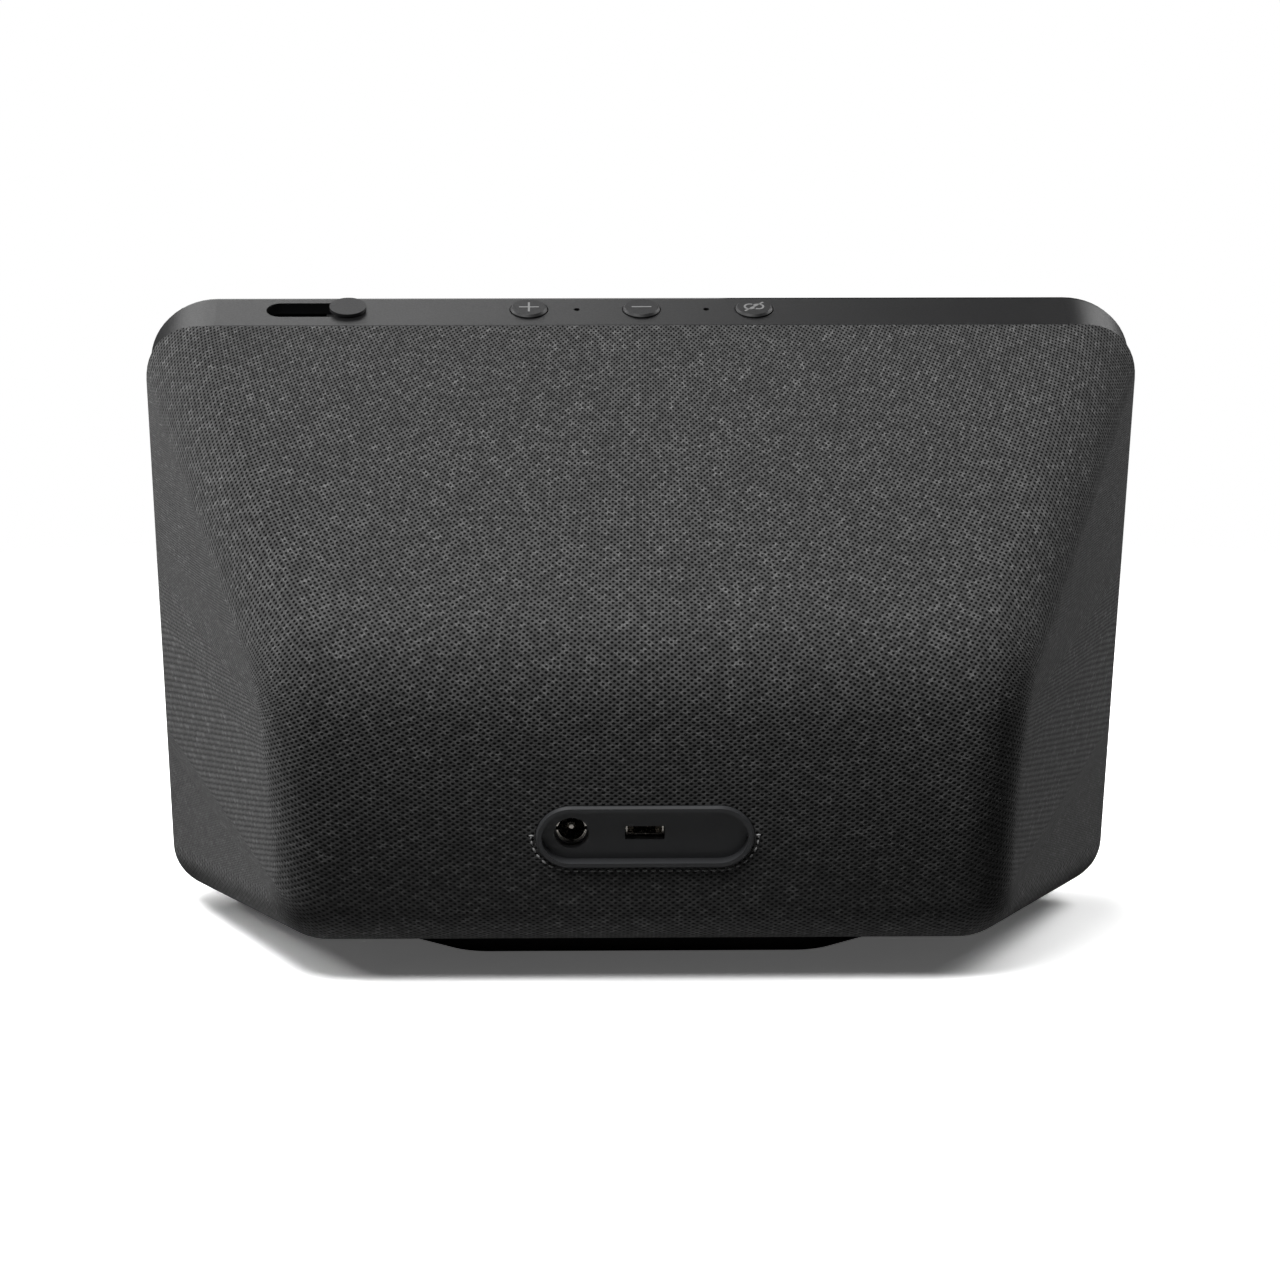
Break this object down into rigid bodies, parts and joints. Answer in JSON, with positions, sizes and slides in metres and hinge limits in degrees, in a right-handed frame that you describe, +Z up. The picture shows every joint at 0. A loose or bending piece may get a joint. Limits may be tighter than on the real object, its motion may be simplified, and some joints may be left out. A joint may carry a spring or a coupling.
{
  "type": "smart speaker",
  "caption": "Table-top smart speaker with a tilted touch screen, knit-covered acoustic wedge, top buttons, sliding camera shutter and a recessed power port.",
  "frame": {"origin": "on the table, under the middle of the object's box", "axes": "+Z up; the screen faces -Y; +X is to the right of someone who faces the screen"},
  "size_m": [0.2004, 0.0988, 0.1359],
  "materials": {
    "fabric": "charcoal spacer knit",
    "housing_plastic": "fine moulded matt texture",
    "button_plastic": "fine moulded matt texture",
    "port_plastic": "moulded satin",
    "cover_glass": "polished, black printed border",
    "lcd": "dark display laminate",
    "tray_plastic": "white reflector tray",
    "chassis_metal": "pressed sheet",
    "shell_plastic": "moulded",
    "screw_steel": "zinc plated",
    "rubber": "matt",
    "nickel": "bright nickel plate",
    "socket_plastic": "moulded",
    "board": "solder mask",
    "flex": "amber film",
    "spreader": "stamped sheet",
    "mic_can": "stamped can",
    "lens": "coated",
    "cone_paper": "pressed black paper",
    "coil_copper": "varnished copper winding",
    "motor_steel": "zinc plated",
    "ferrite": "sintered ferrite",
    "piston_metal": "stamped plate"
  },
  "bodies": {
    "root": {"backlight_tray": "tray_plastic", "base_plate": "shell_plastic", "base_screws": "screw_steel", "bulkhead": "shell_plastic", "button_board": "board", "camera_lens": "lens", "camera_module": "socket_plastic", "chassis_screws": "screw_steel", "cover_glass": "cover_glass", "dc_jack_body": "port_plastic", "dc_jack_contacts": "nickel", "dc_jack_pin": "nickel", "display_flex": "flex", "fabric_cover": "fabric", "heat_spreader": "spreader", "housing_screws": "screw_steel", "lcd_panel": "lcd", "left_driver_frame": "shell_plastic", "left_magnet": "ferrite", "left_spider": "cone_paper", "left_surround": "rubber", "left_top_plate": "motor_steel", "left_yoke": "motor_steel", "main_board": "board", "mic_gaskets": "rubber", "microphones": "mic_can", "mid_chassis": "chassis_metal", "port_bezel": "port_plastic", "port_board": "board", "port_pocket": "shell_plastic", "radiator_frame": "shell_plastic", "radiator_surround": "rubber", "rear_shell": "shell_plastic", "right_driver_frame": "shell_plastic", "right_magnet": "ferrite", "right_spider": "cone_paper", "right_surround": "rubber", "right_top_plate": "motor_steel", "right_yoke": "motor_steel", "rubber_foot": "rubber", "screen_frame": "housing_plastic", "shield_cans": "nickel", "shutter_guide": "shell_plastic", "speaker_screws": "screw_steel", "tact_switches": "socket_plastic", "usb_shell": "nickel", "usb_tongue": "socket_plastic", "wifi_antennas": "board"},
    "volume_up": {"volume_up_button": "button_plastic"},
    "volume_down": {"volume_down_button": "button_plastic"},
    "mute": {"mute_button": "button_plastic"},
    "shutter": {"shutter_slider": "button_plastic", "shutter_blade": "screw_steel"},
    "left_diaphragm": {"left_cone": "cone_paper", "left_dust_cap": "cone_paper", "left_voice_coil": "coil_copper"},
    "right_diaphragm": {"right_cone": "cone_paper", "right_dust_cap": "cone_paper", "right_voice_coil": "coil_copper"},
    "radiator": {"radiator_piston": "piston_metal"}
  },
  "joints": [
    {"name": "volume_up_press", "type": "slide", "parent": "root", "child": "volume_up", "axis": [0, -0.3584, -0.9336], "range_m": [0, 0.0008], "stiffness_N_per_m": 1200, "springref_m": -0.0004},
    {"name": "volume_down_press", "type": "slide", "parent": "root", "child": "volume_down", "axis": [0, -0.3584, -0.9336], "range_m": [0, 0.0008], "stiffness_N_per_m": 1200, "springref_m": -0.0004},
    {"name": "mute_press", "type": "slide", "parent": "root", "child": "mute", "axis": [0, -0.3584, -0.9336], "range_m": [0, 0.0008], "stiffness_N_per_m": 1200, "springref_m": -0.0004},
    {"name": "shutter_slide", "type": "slide", "parent": "root", "child": "shutter", "axis": [1, 0, 0], "range_m": [0, 0.0135]},
    {"name": "left_cone_stroke", "type": "slide", "parent": "root", "child": "left_diaphragm", "axis": [-0.9135, 0.3797, -0.1458], "range_m": [-0.002, 0.002], "stiffness_N_per_m": 1800, "deforming": ["left_surround", "left_spider"]},
    {"name": "right_cone_stroke", "type": "slide", "parent": "root", "child": "right_diaphragm", "axis": [0.9135, 0.3797, -0.1458], "range_m": [-0.002, 0.002], "stiffness_N_per_m": 1800, "deforming": ["right_surround", "right_spider"]},
    {"name": "radiator_stroke", "type": "slide", "parent": "root", "child": "radiator", "axis": [0, 0.848, 0.5299], "range_m": [-0.0025, 0.0025], "stiffness_N_per_m": 1500, "deforming": ["radiator_surround"]}
  ]
}
